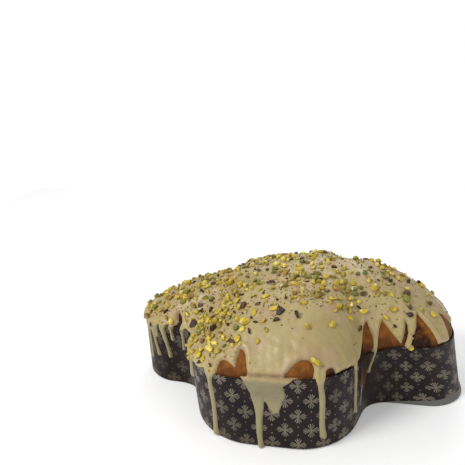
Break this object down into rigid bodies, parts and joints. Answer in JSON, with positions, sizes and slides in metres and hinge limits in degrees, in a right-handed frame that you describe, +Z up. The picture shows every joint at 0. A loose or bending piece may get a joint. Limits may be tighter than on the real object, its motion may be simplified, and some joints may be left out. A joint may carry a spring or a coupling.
{
  "type": "colomba easter bread",
  "caption": "Tall bird-shaped sweet bread in a printed paper mould, domed, with thick pale glaze running down the paper and chopped nuts and chocolate on top.",
  "frame": {"origin": "on the table, under the middle of the mould's two wings", "axes": "+X from the head to the tail, +Y from the near wing to the far wing, +Z up"},
  "size_m": [0.3115, 0.2264, 0.1203],
  "materials": {
    "paper_mould": "matt dark brown baking paper with a pale printed flower lattice",
    "crust": "browned, slightly uneven bread crust",
    "glaze": "thick pale pistachio cream glaze, half gloss, finely specked",
    "pistachio": "chopped green and ochre nut pieces, some with purple-brown skin",
    "chocolate": "broken dark chocolate, half gloss"
  },
  "bodies": {
    "root": {"paper_mould": "paper_mould", "loaf": "crust", "glaze": "glaze"}
  },
  "joints": []
}
